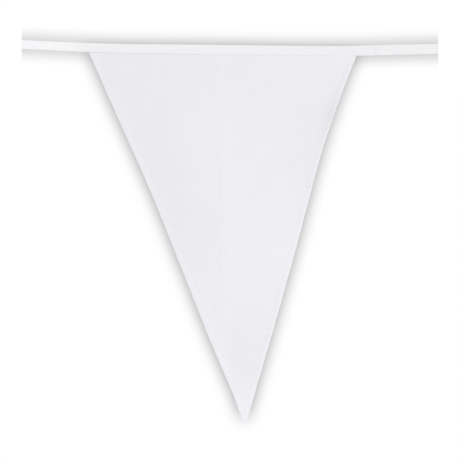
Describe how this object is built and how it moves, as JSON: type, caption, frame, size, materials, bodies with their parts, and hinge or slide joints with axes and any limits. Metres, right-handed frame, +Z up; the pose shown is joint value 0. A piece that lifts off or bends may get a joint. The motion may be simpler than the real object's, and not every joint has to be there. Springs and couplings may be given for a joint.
{
  "type": "fabric bunting",
  "caption": "Tall white cloth pennant with hemmed slanted edges, hanging from a folded tape that runs on past both of its top corners.",
  "frame": {"origin": "middle of the tape's folded top edge, in the middle of its thickness", "axes": "+X along the tape, -Y out of the pennant's front face, +Z up, so the tip hangs towards -Z"},
  "size_m": [0.3336, 0.0058, 0.3044],
  "materials": {
    "pennant_cloth": "matt plain weave",
    "tape_cloth": "matt woven tape with a faint sheen"
  },
  "bodies": {
    "root": {"pennant": "pennant_cloth", "tape": "tape_cloth"}
  },
  "joints": []
}
